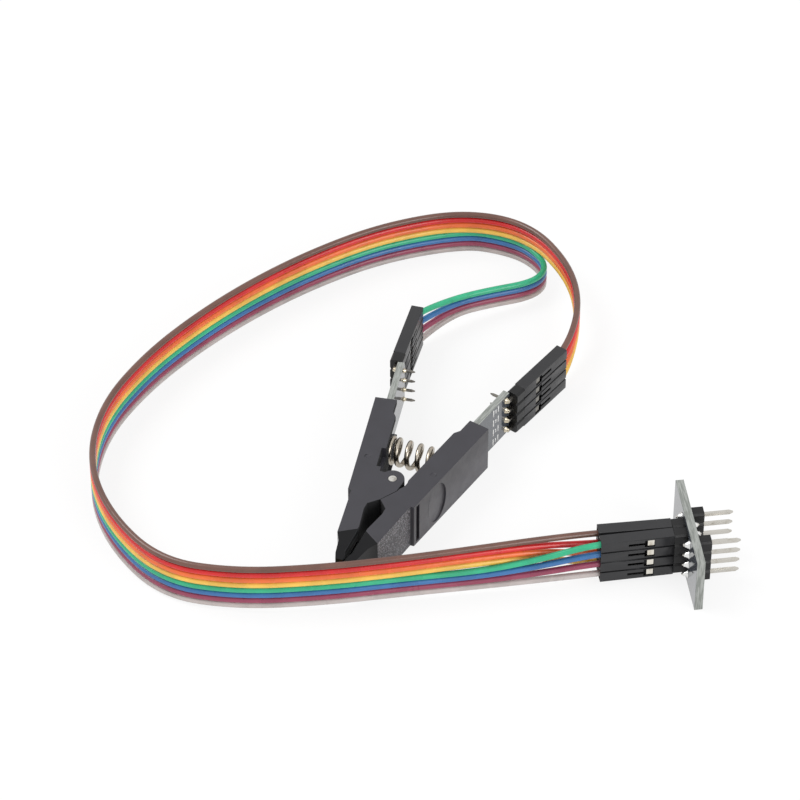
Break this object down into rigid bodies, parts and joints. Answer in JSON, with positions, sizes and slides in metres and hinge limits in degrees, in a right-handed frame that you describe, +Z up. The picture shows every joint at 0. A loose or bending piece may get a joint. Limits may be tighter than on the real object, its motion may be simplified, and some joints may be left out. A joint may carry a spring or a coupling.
{
  "type": "soic test clip",
  "caption": "Spring-loaded clip that grips a small-outline chip, with a coloured ribbon cable and a plug-in adapter for a chip socket.",
  "frame": {"origin": "foot of the clip's pivot axis on the surface it lies on", "axes": "+Z up along the pivot axis, +Y from the tips towards the grips, +X towards the right jaw"},
  "size_m": [0.1269, 0.1168, 0.0124],
  "materials": {
    "jaw_plastic": "moulded glass-filled plastic, satin",
    "comb_plastic": "moulded plastic, semi-gloss",
    "gold_contact": "gold-plated spring strip",
    "board": "glass-fibre board with black solder mask",
    "header_plastic": "moulded plastic",
    "post": "tinned brass posts",
    "plug_plastic": "moulded plastic, slight sheen",
    "socket_metal": "tinned sheet",
    "pin_steel": "plain steel",
    "spring_steel": "nickel-plated wire",
    "wire_brown": "soft insulation",
    "wire_red": "soft insulation",
    "wire_orange": "soft insulation",
    "wire_yellow": "soft insulation",
    "wire_green": "soft insulation",
    "wire_blue": "soft insulation",
    "wire_purple": "soft insulation",
    "wire_grey": "soft insulation"
  },
  "bodies": {
    "right_half": {"jaw_right": "jaw_plastic", "comb_right": "comb_plastic", "contact_right_1": "gold_contact", "contact_right_2": "gold_contact", "contact_right_3": "gold_contact", "contact_right_4": "gold_contact", "board_right": "board", "header_right": "header_plastic", "header_pins_right": "post", "plug_right": "plug_plastic", "sockets_right": "socket_metal", "pivot_pin": "pin_steel", "spring": "spring_steel", "adapter_board": "board", "adapter_header": "header_plastic", "adapter_header_pins": "post", "dip_strip_far": "header_plastic", "dip_pins_far": "post", "adapter_plug_far": "plug_plastic", "adapter_sockets_far": "socket_metal", "dip_strip_near": "header_plastic", "dip_pins_near": "post", "adapter_plug_near": "plug_plastic", "adapter_sockets_near": "socket_metal", "wire_brown": "wire_brown", "wire_red": "wire_red", "wire_orange": "wire_orange", "wire_yellow": "wire_yellow", "wire_green": "wire_green", "wire_blue": "wire_blue", "wire_purple": "wire_purple", "wire_grey": "wire_grey"},
    "left_half": {"jaw_left": "jaw_plastic", "comb_left": "comb_plastic", "contact_left_1": "gold_contact", "contact_left_2": "gold_contact", "contact_left_3": "gold_contact", "contact_left_4": "gold_contact", "board_left": "board", "header_left": "header_plastic", "header_pins_left": "post", "plug_left": "plug_plastic", "sockets_left": "socket_metal"}
  },
  "joints": [
    {"name": "jaw_hinge", "type": "hinge", "parent": "right_half", "child": "left_half", "pos_m": [0, 0, 0.0052], "axis": [0, 0, -1], "range_deg": [0, 24], "stiffness_Nm_per_rad": 0.3, "springref_deg": -14.32, "deforming": ["spring", "wire_green", "wire_blue", "wire_purple", "wire_grey"]}
  ]
}
